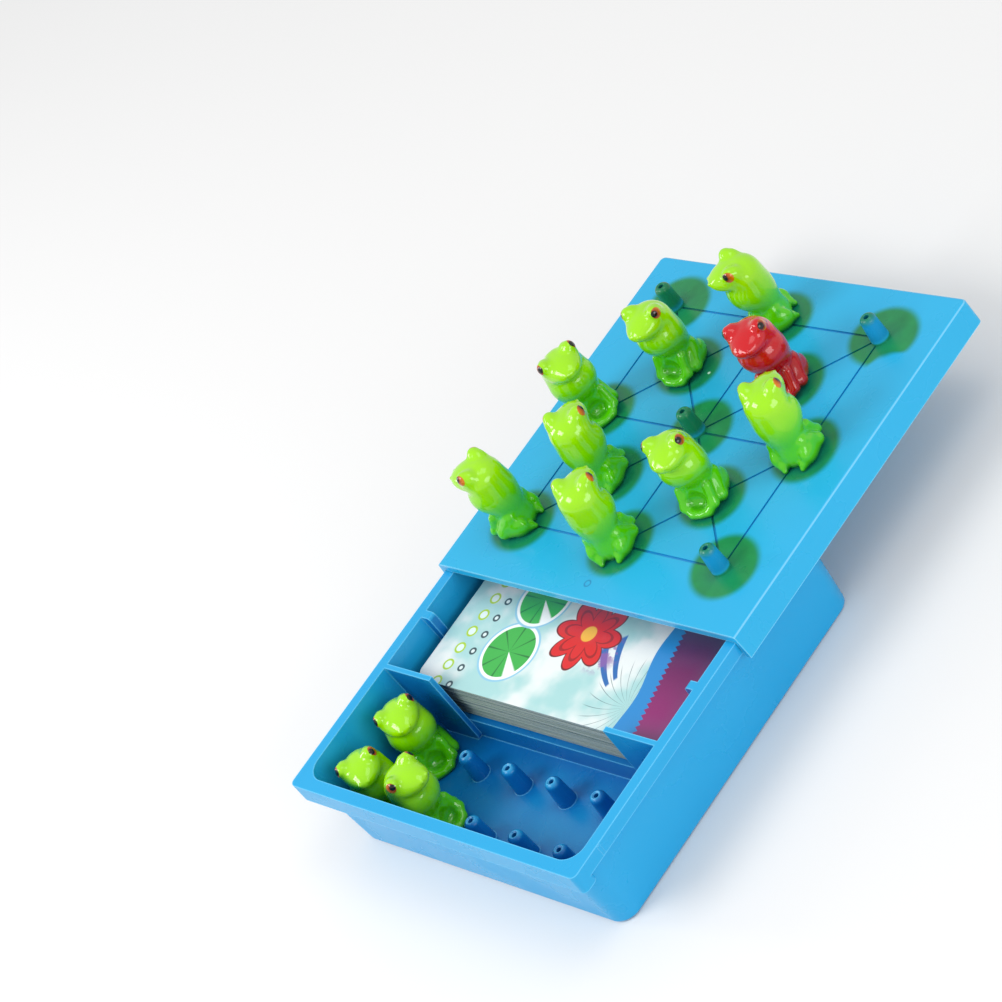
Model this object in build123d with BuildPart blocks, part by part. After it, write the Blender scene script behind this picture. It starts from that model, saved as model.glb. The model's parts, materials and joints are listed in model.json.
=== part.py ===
"""Peg jump puzzle with frog pieces: storage tray, sliding lid that is the game board, frogs and a card deck.

Millimetres. +Z is up, +X is to the right as the player sees it and +Y points away from the player.
The origin is the centre of the tray's bottom face. The lid stands partly open, drawn back over the rear.
"""

import os
from math import radians, sin, sqrt, tan

from build123d import *

os.makedirs("parts", exist_ok=True)

# ---- driving dimensions -------------------------------------------------------------------------
WALL = 1.7                  # thickness of the mouldings
FLOOR = 1.8                 # thickness of the tray's floor
SLIDE_GAP = 0.3             # clearance of the lid on the tray, all round
REST_GAP = 0.02             # left under each piece that stands on another

FROG_HEIGHT = 29.4
FROG_REACH = 8.4            # no part of a frog is farther from its peg's axis
FROG_HEADROOM = 0.2         # over a stored frog, up to the tray's rim
STORE_COLUMNS = 6
STORE_GAP = 2.7             # between the reaches of two stored frogs
STORE_SIDE_GAP = 0.55       # from a stored frog's reach to the tray's side wall
STORE_FRONT_GAP = 0.7       # and to its front wall
STORE_REAR_GAP = 2.15       # and to the stub dividers

PEG_HEIGHT = 9.8
PEG_FOOT_R = 3.1
PEG_TIP_R = 2.6
PEG_DOME = 1.8              # height of the rounded tip
PEG_HOLE_R = 0.85
PEG_HOLE_DEPTH = 3.0
SOCKET_GAP = 0.2            # radial clearance of a frog on a peg

CARD_WIDTH = 108.0
CARD_DEPTH = 72.0
CARD_CORNER = 4.0
CARD_THICK = 0.35
CARD_GAP = 0.01             # between two cards
CARD_COUNT = 40
CARD_STRAY = 0.35           # how far single cards lie out of line
CARD_SIDE_GAP = 2.1         # from the deck to the guide ribs on the side walls
CARD_FRONT_GAP = 1.7        # from the deck to the stub dividers
CARD_REAR_GAP = 1.55        # from the deck to the rear wall
SHELF_HEIGHT = 9.9          # the deck lies on a raised shelf
SHELF_RIB = 1.6             # stiffening ribs in the hollow under the shelf
STUB_LENGTH = 19.1          # of the stub dividers, inwards from the foot of the side walls
STUB_CORNER = 3.0
GUIDE_LEAST = 1.6           # least reach of the guide ribs from the foot of the wall
GUIDE_WIDTH = 2.8
GUIDE_FROM_STUB = 19.55     # from the stub dividers to the guide ribs

TRAY_DRAFT = 4.0            # degrees that the walls lean outwards
TRAY_CORNER = 6.0
TRAY_EDGE = 1.2             # rounding of the bottom edge
FLOOR_CORNER = 0.8          # rounding between the floor and the walls
RAIL_OVERHANG = 2.0         # how far the rails stand out from the walls
RAIL_HEIGHT = 4.5
FLANGE_OVERHANG = 2.5       # how far the flange stands out at the front and rear
FLANGE_CORNER = 2.0
LIP_HEIGHT = 7.2            # the front lip hangs lower than the rails, so its ends stop the lid
LIP_DEPTH = 6.0
COVE_HEIGHT = 5.0           # hollow blend between the lip and the front wall
BUMP_R = 0.9                # detent bump on each rail
BUMP_REACH = 0.22
BUMP_FROM_FRONT = 12.0

LID_SKIRT = 6.5             # height of the skirts under the plate
LID_PLATE = 2.6
LID_EDGE = 1.1              # rounding of the plate's edges
LID_CORNER = 2.0
LID_REAR_GAP = 3.25         # between the tray and the lid's rear skirt when it is closed
LID_OPEN = 76.85            # how far the lid stands back from its closed place
SKIRT_TOP = 1.1             # skirt thickness under the plate
SKIRT_FLARE = 0.9           # how far the skirts lean outwards at their lower edge
CATCH_HEIGHT = 1.4          # catches inside the skirts run under the rails
CATCH_OVERLAP = 1.2
CATCH_LENGTH = 12.0
CATCH_PITCH = 35.0
CATCH_COUNT = 4

BOARD_MARGIN = 21.0         # from the outer pegs to the lid's side edges
BOARD_SHIFT = 1.0           # the pegs' middle lies this far behind the lid's middle
GROOVE_WIDTH = 0.8
GROOVE_DEPTH = 0.4

# ---- worked-out dimensions: the contents size the tray, and the tray sizes the lid ----------------
STORE_PITCH = 2 * FROG_REACH + STORE_GAP
STORE_WIDTH = STORE_PITCH * (STORE_COLUMNS - 1) + 2 * (FROG_REACH + STORE_SIDE_GAP)
CARD_SPACE = CARD_WIDTH + 2 * (CARD_SIDE_GAP + GUIDE_LEAST)
INSIDE_X = max(STORE_WIDTH, CARD_SPACE)
STORE_DEPTH = STORE_FRONT_GAP + 4 * FROG_REACH + STORE_GAP + STORE_REAR_GAP
INSIDE_Y = STORE_DEPTH + WALL + CARD_FRONT_GAP + CARD_DEPTH + CARD_REAR_GAP
TRAY_FOOT_X = INSIDE_X + 2 * WALL
TRAY_FOOT_Y = INSIDE_Y + 2 * WALL
CARD_STEP = CARD_THICK + CARD_GAP
DECK_HEIGHT = CARD_STEP * CARD_COUNT
TRAY_HEIGHT = max(FLOOR + FROG_HEIGHT + FROG_HEADROOM, SHELF_HEIGHT + DECK_HEIGHT + FROG_HEADROOM)
TRAY_LEAN = tan(radians(TRAY_DRAFT))
RIM_LEAN = TRAY_LEAN * TRAY_HEIGHT
RAIL_WIDTH = TRAY_FOOT_X + 2 * (RIM_LEAN + RAIL_OVERHANG)
FLANGE_LENGTH = TRAY_FOOT_Y + 2 * (RIM_LEAN + FLANGE_OVERHANG)
FLANGE_FRONT = -FLANGE_LENGTH / 2

STORE_FRONT_Y = -INSIDE_Y / 2 + STORE_FRONT_GAP + FROG_REACH
STORE_LEFT_X = -STORE_PITCH * (STORE_COLUMNS - 1) / 2
SHELF_FRONT_Y = -INSIDE_Y / 2 + STORE_DEPTH + WALL
GUIDE_Y = SHELF_FRONT_Y + GUIDE_FROM_STUB
GUIDE_INNER_X = CARD_WIDTH / 2 + CARD_SIDE_GAP
DECK_Y = SHELF_FRONT_Y + CARD_FRONT_GAP + CARD_DEPTH / 2
DECK_UNDER = SHELF_HEIGHT + REST_GAP

PLATE_UNDER = TRAY_HEIGHT + SLIDE_GAP
BOARD_TOP = PLATE_UNDER + LID_PLATE
LID_UNDER = PLATE_UNDER - LID_SKIRT
LID_INNER = RAIL_WIDTH + 2 * SLIDE_GAP
LID_WIDTH = LID_INNER + 2 * SKIRT_TOP
LID_LENGTH = FLANGE_LENGTH - LIP_DEPTH - SLIDE_GAP / 2 + LID_REAR_GAP + WALL
LID_FRONT = FLANGE_FRONT + LIP_DEPTH + SLIDE_GAP / 2 + LID_OPEN
LID_REAR = LID_FRONT + LID_LENGTH
LID_MIDDLE = (LID_FRONT + LID_REAR) / 2
BOARD_Y = LID_MIDDLE + BOARD_SHIFT
BOARD_PITCH = LID_WIDTH / 2 - BOARD_MARGIN
HALF_PITCH = BOARD_PITCH / 2


def wall_middle(height):
    """Distance from the centre to the middle of the leaning side wall, at a height above the bottom."""
    return TRAY_FOOT_X / 2 - WALL / 2 + TRAY_LEAN * height


def wing_points(inner_x, bottom):
    """Corners in XZ of an upright rib that joins the right-hand side wall."""
    return (
        (inner_x, bottom),
        (wall_middle(bottom), bottom),
        (wall_middle(TRAY_HEIGHT), TRAY_HEIGHT),
        (inner_x, TRAY_HEIGHT),
    )


def pod(radius, straight):
    """A rod with round ends, along X about the origin."""
    with BuildPart() as shape:
        with BuildSketch(Plane.XZ):
            SlotCenterToCenter(straight, 2 * radius)
            with Locations((0, -radius)):
                Rectangle(straight + 2 * radius, 2 * radius, mode=Mode.SUBTRACT)
        revolve(axis=Axis.X)
    return shape.part


# ---- peg: the same hollow-tipped peg stands on the board and in the tray --------------------------
with BuildPart() as peg:
    with BuildSketch(Plane.XZ):
        with BuildLine():
            rim_r = 0.7 * PEG_HOLE_R + 0.3 * PEG_TIP_R
            mouth = (PEG_HOLE_R, PEG_HEIGHT - PEG_DOME / 6)
            shoulder = (PEG_TIP_R, PEG_HEIGHT - PEG_DOME)
            Polyline((0, -FLOOR / 2), (PEG_FOOT_R, -FLOOR / 2), (PEG_FOOT_R, 0), shoulder)
            ThreePointArc(shoulder, (PEG_TIP_R - 0.25 * PEG_DOME, PEG_HEIGHT - 0.3 * PEG_DOME), (rim_r, PEG_HEIGHT))
            Polyline(
                (rim_r, PEG_HEIGHT),
                mouth,
                (PEG_HOLE_R, PEG_HEIGHT - PEG_HOLE_DEPTH),
                (0, PEG_HEIGHT - PEG_HOLE_DEPTH),
                (0, -FLOOR / 2),
            )
        make_face()
    revolve(axis=Axis.Z)

# ---- tray ---------------------------------------------------------------------------------------
with BuildPart() as tray:
    with BuildSketch(Plane.XY):
        RectangleRounded(TRAY_FOOT_X, TRAY_FOOT_Y, TRAY_CORNER)
    extrude(amount=TRAY_HEIGHT, taper=-TRAY_DRAFT)
    fillet(faces().sort_by(Axis.Z)[0].edges(), TRAY_EDGE)

    # flange: its two sides are the rails that carry the lid
    with BuildSketch(Plane.XY.offset(TRAY_HEIGHT - RAIL_HEIGHT)):
        RectangleRounded(RAIL_WIDTH, FLANGE_LENGTH, FLANGE_CORNER)
    extrude(amount=RAIL_HEIGHT)

    # front lip, with a hollow blend into the wall below it
    lip_under = TRAY_HEIGHT - LIP_HEIGHT
    with BuildSketch(Plane.XY.offset(lip_under)):
        with Locations((0, FLANGE_FRONT + LIP_DEPTH / 2)):
            RectangleRounded(RAIL_WIDTH, LIP_DEPTH, FLANGE_CORNER)
    extrude(amount=LIP_HEIGHT)
    cove_foot_y = -TRAY_FOOT_Y / 2 - TRAY_LEAN * (lip_under - COVE_HEIGHT)
    cove_lip_y = FLANGE_FRONT + WALL / 2
    with BuildSketch(Plane.YZ.offset(-TRAY_FOOT_X / 2 + TRAY_CORNER)):
        with BuildLine():
            foot = (cove_foot_y, lip_under - COVE_HEIGHT)
            lip_edge = (cove_lip_y, lip_under)
            RadiusArc(foot, lip_edge, COVE_HEIGHT)
            Polyline(lip_edge, (cove_foot_y + WALL / 2, lip_under), foot)
        make_face()
    extrude(amount=TRAY_FOOT_X - 2 * TRAY_CORNER)

    # inside
    with BuildSketch(Plane.XY.offset(FLOOR)):
        RectangleRounded(TRAY_FOOT_X - 2 * WALL, TRAY_FOOT_Y - 2 * WALL, TRAY_CORNER - WALL)
    extrude(amount=TRAY_HEIGHT - FLOOR, taper=-TRAY_DRAFT, mode=Mode.SUBTRACT)
    floor_face = faces().filter_by(Axis.Z).filter_by_position(Axis.Z, FLOOR - 0.01, FLOOR + 0.01)[0]
    fillet(floor_face.edges(), FLOOR_CORNER)

    # raised card shelf, hollow and ribbed underneath
    with BuildSketch(Plane.XY.offset(FLOOR / 2)):
        RectangleRounded(TRAY_FOOT_X - WALL, TRAY_FOOT_Y - WALL, TRAY_CORNER - WALL / 2)
        with Locations((0, SHELF_FRONT_Y - TRAY_FOOT_Y / 2)):
            Rectangle(TRAY_FOOT_X, TRAY_FOOT_Y, mode=Mode.SUBTRACT)
    extrude(amount=SHELF_HEIGHT - FLOOR / 2)
    hollow_front = SHELF_FRONT_Y + WALL
    hollow_rear = TRAY_FOOT_Y / 2 - 2 * WALL
    with BuildSketch(Plane.XY):
        with Locations((0, (hollow_front + hollow_rear) / 2)):
            RectangleRounded(TRAY_FOOT_X - 4 * WALL, hollow_rear - hollow_front, TRAY_CORNER / 2)
        with Locations((0, 0)):
            Rectangle(SHELF_RIB, TRAY_FOOT_Y, mode=Mode.SUBTRACT)
            Rectangle(TRAY_FOOT_X, SHELF_RIB, mode=Mode.SUBTRACT)
    extrude(amount=SHELF_HEIGHT - FLOOR, mode=Mode.SUBTRACT)

    # stub dividers in front of the deck, and the card guide ribs
    with BuildSketch(Plane.XZ.offset(-SHELF_FRONT_Y)):
        Polygon(*wing_points(INSIDE_X / 2 - STUB_LENGTH, FLOOR / 2), align=None)
        fillet(vertices().group_by(Axis.Z)[-1].sort_by(Axis.X)[0], STUB_CORNER)
        mirror(about=Plane.YZ)
    extrude(amount=WALL)
    with BuildSketch(Plane.XZ.offset(-GUIDE_Y - GUIDE_WIDTH / 2)):
        Polygon(*wing_points(GUIDE_INNER_X, SHELF_HEIGHT - FLOOR / 2), align=None)
        fillet(vertices().group_by(Axis.Z)[-1].sort_by(Axis.X)[0], STUB_CORNER / 2)
        mirror(about=Plane.YZ)
    extrude(amount=GUIDE_WIDTH)

    # detent bumps on the rails
    bump_x = RAIL_WIDTH / 2 + BUMP_REACH - BUMP_R
    with Locations((bump_x, FLANGE_FRONT + BUMP_FROM_FRONT, TRAY_HEIGHT - RAIL_HEIGHT / 2)):
        Cylinder(BUMP_R, RAIL_HEIGHT - 2 * SLIDE_GAP)
    with Locations((-bump_x, FLANGE_FRONT + BUMP_FROM_FRONT, TRAY_HEIGHT - RAIL_HEIGHT / 2)):
        Cylinder(BUMP_R, RAIL_HEIGHT - 2 * SLIDE_GAP)

    # storage pegs
    with Locations((0, STORE_FRONT_Y + STORE_PITCH / 2, FLOOR)):
        with GridLocations(STORE_PITCH, STORE_PITCH, STORE_COLUMNS, 2):
            add(peg.part)
tray.part.label = "tray"
export_step(tray.part, "parts/tray.step")

# ---- lid: the game board --------------------------------------------------------------------------
with BuildPart() as lid:
    with BuildSketch(Plane.XZ.offset(-LID_FRONT)):
        with BuildLine():
            half_top = LID_WIDTH / 2
            half_foot = half_top + SKIRT_FLARE
            Polyline(
                (-half_foot, LID_UNDER),
                (half_foot, LID_UNDER),
                (half_top, BOARD_TOP),
                (-half_top, BOARD_TOP),
                close=True,
            )
        make_face()
    extrude(amount=-LID_LENGTH)
    rear_uprights = edges().filter_by_position(Axis.Y, LID_REAR - 0.1, LID_REAR + 0.1)
    rear_uprights = rear_uprights.filter_by(Axis.X, reverse=True)
    fillet(rear_uprights, LID_CORNER)
    top_edges = faces().sort_by(Axis.Z)[-1].edges()
    front_edge = top_edges.sort_by(Axis.Y)[0]
    fillet([edge for edge in top_edges if edge != front_edge], LID_EDGE)

    # inside: open at the front and below
    with BuildSketch(Plane.XY.offset(LID_UNDER)):
        with Locations((0, (LID_FRONT + LID_REAR - WALL) / 2)):
            Rectangle(LID_INNER, LID_LENGTH - WALL)
    extrude(amount=PLATE_UNDER - LID_UNDER, mode=Mode.SUBTRACT)

    # catches under the rails
    catch_middle_y = LID_FRONT + WALL + CATCH_LENGTH / 2 + CATCH_PITCH * (CATCH_COUNT - 1) / 2
    catch_reach = CATCH_OVERLAP + SLIDE_GAP
    catch_width = catch_reach + SKIRT_TOP
    catch_spacing = LID_INNER - 2 * catch_reach + catch_width
    with Locations((0, catch_middle_y, LID_UNDER + CATCH_HEIGHT / 2)):
        with GridLocations(catch_spacing, CATCH_PITCH, 2, CATCH_COUNT):
            Box(catch_width, CATCH_LENGTH, CATCH_HEIGHT)

    # engraved lines between the pegs: rows, columns, two diagonals and a diamond
    with BuildSketch(Plane((0, BOARD_Y, BOARD_TOP))):
        with GridLocations(BOARD_PITCH, BOARD_PITCH, 1, 3):
            Rectangle(2 * BOARD_PITCH, GROOVE_WIDTH)
        with GridLocations(BOARD_PITCH, BOARD_PITCH, 3, 1):
            Rectangle(GROOVE_WIDTH, 2 * BOARD_PITCH)
        for turn in (45, -45):
            Rectangle(2 * BOARD_PITCH * sqrt(2), GROOVE_WIDTH, rotation=turn)
        for side in (-1, 1):
            with Locations((side * HALF_PITCH, HALF_PITCH), (-side * HALF_PITCH, -HALF_PITCH)):
                Rectangle(BOARD_PITCH * sqrt(2), GROOVE_WIDTH, rotation=-side * 45)
    extrude(amount=-GROOVE_DEPTH, mode=Mode.SUBTRACT)

    with Locations((0, BOARD_Y, BOARD_TOP)):
        with GridLocations(BOARD_PITCH, BOARD_PITCH, 3, 3):
            add(peg.part)
        with GridLocations(BOARD_PITCH, BOARD_PITCH, 2, 2):
            add(peg.part)
lid.part.label = "lid"
export_step(lid.part, "parts/lid.step")

# ---- frog: sits upright, faces +X, and stands over a peg --------------------------------------------
with BuildPart() as frog:
    # round body, wider at the chest than at the foot
    foot_r = 0.67 * FROG_REACH
    chest_r = 0.85 * FROG_REACH
    chest_z = 0.93 * FROG_HEIGHT - chest_r
    with BuildSketch(Plane.XZ):
        with BuildLine():
            crown = (0, chest_z + chest_r)
            Polyline(crown, (0, 0), (foot_r, 0), (chest_r, chest_z))
            RadiusArc((chest_r, chest_z), crown, -chest_r)
        make_face()
    revolve(axis=Axis.Z)

    # broad head, eye bumps, folded hind legs and front feet
    head_r = 0.58 * FROG_REACH
    eye_r = 0.29 * FROG_REACH
    leg_r = 0.39 * FROG_REACH
    foot_ball_r = 0.27 * FROG_REACH
    with Locations(Location((0.33 * FROG_REACH, 0, 0.77 * FROG_HEIGHT), (0, 0, 90))):
        add(pod(head_r, 0.58 * FROG_REACH))
    for side in (-1, 1):
        with Locations((0.1 * FROG_REACH, side * 0.6 * FROG_REACH, FROG_HEIGHT - eye_r)):
            Sphere(eye_r)
        with Locations((-0.05 * FROG_REACH, side * 0.53 * FROG_REACH, 0.1 * FROG_HEIGHT)):
            add(pod(leg_r, 0.44 * FROG_REACH))
        with Locations((0.6 * FROG_REACH, side * 0.31 * FROG_REACH, 0.05 * FROG_HEIGHT)):
            Sphere(foot_ball_r)
    split(bisect_by=Plane.XY, keep=Keep.TOP)

    # socket for the peg
    with BuildSketch(Plane.XZ):
        with BuildLine():
            socket_top = PEG_HEIGHT + SOCKET_GAP
            Polyline(
                (0, -WALL),
                (PEG_FOOT_R + SOCKET_GAP, -WALL),
                (PEG_FOOT_R + SOCKET_GAP, 0),
                (PEG_TIP_R + SOCKET_GAP, socket_top),
                (0, socket_top),
                close=True,
            )
        make_face()
    revolve(axis=Axis.Z, mode=Mode.SUBTRACT)


def stand_frog(name, x, y, foot_z, facing):
    """Write one frog, standing over the peg at x, y and turned to face an angle from +X."""
    with BuildPart() as placed:
        with Locations(Location((x, y, foot_z + REST_GAP), (0, 0, facing))):
            add(frog.part)
    placed.part.label = name
    export_step(placed.part, f"parts/{name}.step")


# on the board: column and row in half pitches from the centre peg, and the way each frog faces
stand_frog("frog_red", HALF_PITCH, BOARD_Y + HALF_PITCH, BOARD_TOP, -65)
BOARD_FROGS = (
    (0, 2, 224),
    (-1, 1, -77),
    (-2, 0, -22),
    (2, 0, 110),
    (-1, -1, 116),
    (1, -1, -67),
    (-2, -2, 199),
    (0, -2, 115),
)
for index, (column, row, facing) in enumerate(BOARD_FROGS, start=1):
    stand_frog(
        f"frog_green_{index:02d}",
        column * HALF_PITCH,
        BOARD_Y + row * HALF_PITCH,
        BOARD_TOP,
        facing,
    )

# in the tray: on the two storage rows, at the left
STORED_FROGS = ((0, 1, -29), (0, 0, -37), (1, 0, 12))
for index, (column, row, facing) in enumerate(STORED_FROGS, start=len(BOARD_FROGS) + 1):
    stand_frog(
        f"frog_green_{index:02d}",
        STORE_LEFT_X + column * STORE_PITCH,
        STORE_FRONT_Y + row * STORE_PITCH,
        FLOOR,
        facing,
    )

# ---- card deck ----------------------------------------------------------------------------------
with BuildPart() as cover_card:
    with BuildSketch(Plane((0, DECK_Y, DECK_UNDER + (CARD_COUNT - 1) * CARD_STEP))):
        RectangleRounded(CARD_WIDTH, CARD_DEPTH, CARD_CORNER)
    extrude(amount=CARD_THICK)
cover_card.part.label = "cover_card"
export_step(cover_card.part, "parts/cover_card.step")

with BuildPart() as challenge_cards:
    for index in range(CARD_COUNT - 1):
        stray_x = CARD_STRAY * sin(2.4 * index)
        stray_y = CARD_STRAY * (1 + sin(1.7 * index))
        with BuildSketch(Plane((stray_x, DECK_Y + stray_y, DECK_UNDER + index * CARD_STEP))):
            RectangleRounded(CARD_WIDTH, CARD_DEPTH, CARD_CORNER)
        extrude(amount=CARD_THICK)
challenge_cards.part.label = "challenge_cards"
export_step(challenge_cards.part, "parts/challenge_cards.step")
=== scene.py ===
# %% [markdown]
# # A peg jump puzzle with frogs
#
# The object is a storage tray with a sliding lid. The lid's top is the game board: thirteen pegs joined by
# grooves, with a lily pad sprayed round each peg, and frogs that stand over the pegs. Three spare frogs
# stand in the tray, in front of a deck of challenge cards.
#
# The engineering model gives the tray, the lid, the cover card and the place of every piece. This script
# gives them their finish, sculpts the frogs and lays out the deck.

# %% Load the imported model
import json
from math import cos, radians, sin

import bpy
import numpy as np
from mathutils import Matrix, Vector


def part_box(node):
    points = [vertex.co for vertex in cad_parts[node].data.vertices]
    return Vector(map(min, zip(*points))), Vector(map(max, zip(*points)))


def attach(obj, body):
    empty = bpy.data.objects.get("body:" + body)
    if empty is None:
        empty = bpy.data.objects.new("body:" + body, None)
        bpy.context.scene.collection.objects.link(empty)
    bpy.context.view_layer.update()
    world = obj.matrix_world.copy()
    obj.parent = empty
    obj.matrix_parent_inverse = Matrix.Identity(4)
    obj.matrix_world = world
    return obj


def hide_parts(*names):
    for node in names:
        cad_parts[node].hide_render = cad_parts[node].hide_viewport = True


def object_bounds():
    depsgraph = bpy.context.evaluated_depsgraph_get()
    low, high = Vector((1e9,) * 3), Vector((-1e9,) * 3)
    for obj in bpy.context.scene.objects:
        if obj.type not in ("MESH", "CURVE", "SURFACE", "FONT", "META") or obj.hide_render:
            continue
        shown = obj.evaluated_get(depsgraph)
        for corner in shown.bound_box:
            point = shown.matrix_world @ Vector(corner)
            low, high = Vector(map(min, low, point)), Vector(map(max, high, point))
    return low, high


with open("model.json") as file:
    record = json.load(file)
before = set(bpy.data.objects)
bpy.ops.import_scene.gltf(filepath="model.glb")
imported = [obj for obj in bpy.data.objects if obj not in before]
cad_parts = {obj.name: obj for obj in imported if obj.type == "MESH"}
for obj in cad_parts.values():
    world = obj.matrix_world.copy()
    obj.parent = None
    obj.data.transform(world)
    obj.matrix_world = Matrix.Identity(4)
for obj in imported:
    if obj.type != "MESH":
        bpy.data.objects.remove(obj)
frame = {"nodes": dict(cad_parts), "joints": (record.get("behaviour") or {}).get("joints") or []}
cad_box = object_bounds()
print("box:", [round(side, 4) for side in cad_box[1] - cad_box[0]])

# %% [markdown]
# ## Places
#
# Everything is in metres, in the frame of the engineering model. The places come from the boxes of its
# nodes, so that nothing has to be fitted. The frogs are sculpted in millimetres, because their features are
# that small.

# %% Places of the board and the store
MM = 0.001
HALF_PITCH = 0.022

lid_low, lid_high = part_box("lid")
tray_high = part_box("tray")[1]
BOARD_SHIFT = 0.001
board_middle = (lid_low + lid_high) / 2 + Vector((0, BOARD_SHIFT, 0))
board_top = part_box("frog_green_01")[0].z
store_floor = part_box("frog_green_09")[0].z
print("board middle:", board_middle.y, "board top:", board_top, "store floor:", store_floor)

# %% [markdown]
# ## Camera
#
# The view is from the right, above and in front, with a long lens, and it is rolled so that the tray seems
# to lean. A camera looks along its own -Z, so a direction turned into a rotation aims it, and a turn about
# its own Z is the roll.

# %% Aim the camera
CAMERA_PLACE = Vector((0.77356, -0.32668, 0.6768))
CAMERA_AIM = Vector((-0.74202, 0.34345, -0.57572))
CAMERA_ROLL = radians(-39.12)

camera = bpy.data.objects.new("camera", bpy.data.cameras.new("camera"))
camera.data.lens = 130.4
camera.data.sensor_width = 36
camera.data.shift_x = -0.0274
camera.data.shift_y = -0.0266
camera.data.clip_start = 0.01
turn = CAMERA_AIM.to_track_quat("-Z", "Y").to_matrix().to_4x4() @ Matrix.Rotation(CAMERA_ROLL, 4, "Z")
camera.matrix_world = Matrix.Translation(CAMERA_PLACE) @ turn
bpy.context.scene.collection.objects.link(camera)
bpy.context.scene.camera = camera
print("camera right:", turn.col[0].xyz, "up:", turn.col[1].xyz)

# %% [markdown]
# ## Floor and light
#
# A plain pale floor and big soft lamps, as in a product studio. Each lamp is a rectangle, because a glossy
# frog mirrors it: the wide bright patch and the narrow strip on each head are two of these lamps. The lamp
# from the right lights the side walls, which would otherwise be grey with the floor's shade.

# %% Floor and lamps
FLOOR_SIZE = 6.0


def mesh_object(name, points, faces, smooth=False):
    """A new object with its place in its mesh."""
    mesh = bpy.data.meshes.new(name)
    mesh.from_pydata([tuple(p) for p in points], [], [tuple(int(i) for i in f) for f in faces])
    mesh.update()
    if smooth:
        mesh.shade_smooth()
    thing = bpy.data.objects.new(name, mesh)
    bpy.context.scene.collection.objects.link(thing)
    return thing


def add_lamp(name, direction, distance, size, power):
    """A rectangular lamp that looks at the middle of the object."""
    lamp = bpy.data.lights.new(name, "AREA")
    lamp.shape = "RECTANGLE"
    lamp.size, lamp.size_y = size
    lamp.energy = power
    thing = bpy.data.objects.new(name, lamp)
    middle = (cad_box[0] + cad_box[1]) / 2
    thing.location = middle + Vector(direction).normalized() * distance
    thing.rotation_euler = (middle - thing.location).to_track_quat("-Z", "Y").to_euler()
    bpy.context.scene.collection.objects.link(thing)
    return thing


half = FLOOR_SIZE / 2
floor_z = cad_box[0].z - 0.0001
corners = [(-half, -half, floor_z), (half, -half, floor_z), (half, half, floor_z), (-half, half, floor_z)]
floor = mesh_object("studio_floor", corners, [(0, 1, 2, 3)])

add_lamp("wide_lamp", (-0.30, -0.62, 0.72), 0.9, (0.42, 0.30), 3.2)
add_lamp("strip_lamp", (-0.86, -0.35, 0.36), 0.9, (0.10, 0.42), 1.0)
add_lamp("top_lamp", (0.35, 0.25, 0.9), 1.1, (0.5, 0.5), 1.3)
add_lamp("fill_lamp", (0.93, -0.12, 0.30), 1.1, (0.6, 0.5), 3.4)

world = bpy.data.worlds.new("studio")
bpy.context.scene.world = world
world.use_nodes = True
world.node_tree.nodes["Background"].inputs["Color"].default_value = (1.0, 1.0, 1.0, 1.0)
world.node_tree.nodes["Background"].inputs["Strength"].default_value = 0.78
bpy.context.scene.view_settings.view_transform = "Standard"

# %% [markdown]
# ## Small helpers for shader nodes
#
# A material is a graph of nodes. These helpers add a node and join its sockets in one line, so that each
# material below reads as a list of what it does.

# %% Helpers for shader nodes


def colour(code):
    """A linear colour from a six-digit screen colour."""
    parts = [int(code[i:i + 2], 16) / 255 for i in (0, 2, 4)]
    linear = [c / 12.92 if c <= 0.04045 else ((c + 0.055) / 1.055) ** 2.4 for c in parts]
    return (*linear, 1.0)


def join(tree, socket, value):
    """Set a socket, or link another node's output to it."""
    if isinstance(value, bpy.types.NodeSocket):
        tree.links.new(value, socket)
    else:
        socket.default_value = value


def add_node(tree, kind, settings=None, **inputs):
    """Add a node, with its settings and its inputs by name."""
    node = tree.nodes.new(kind)
    for name, value in (settings or {}).items():
        setattr(node, name, value)
    for name, value in inputs.items():
        join(tree, node.inputs[name.replace("_", " ")], value)
    return node


def maths(tree, operation, *values):
    """One number from a Math node."""
    node = tree.nodes.new("ShaderNodeMath")
    node.operation = operation
    for socket, value in zip(node.inputs, values):
        join(tree, socket, value)
    return node.outputs[0]


def vector_maths(tree, operation, *values, out=0):
    """One vector, or one number, from a Vector Math node."""
    node = tree.nodes.new("ShaderNodeVectorMath")
    node.operation = operation
    for socket, value in zip(node.inputs, values):
        join(tree, socket, value)
    return node.outputs[out]


def fade(tree, value, start, end):
    """0 up to start and 1 from end on, with a soft step between them. It also runs downwards."""
    low, high = min(start, end), max(start, end)
    to_low, to_high = (0.0, 1.0) if end > start else (1.0, 0.0)
    node = add_node(
        tree,
        "ShaderNodeMapRange",
        {"interpolation_type": "SMOOTHSTEP"},
        From_Min=low,
        From_Max=high,
        To_Min=to_low,
        To_Max=to_high,
    )
    join(tree, node.inputs["Value"], value)
    return node.outputs["Result"]


def mix(tree, factor, first, second):
    """A colour between two colours."""
    node = tree.nodes.new("ShaderNodeMix")
    node.data_type = "RGBA"
    join(tree, node.inputs[0], factor)
    join(tree, node.inputs[6], first)
    join(tree, node.inputs[7], second)
    return node.outputs[2]


def new_material(name):
    """An empty material: its graph and its Principled BSDF."""
    material = bpy.data.materials.new(name)
    material.use_nodes = True
    return material, material.node_tree, material.node_tree.nodes["Principled BSDF"]


print("helpers ready")
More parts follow.
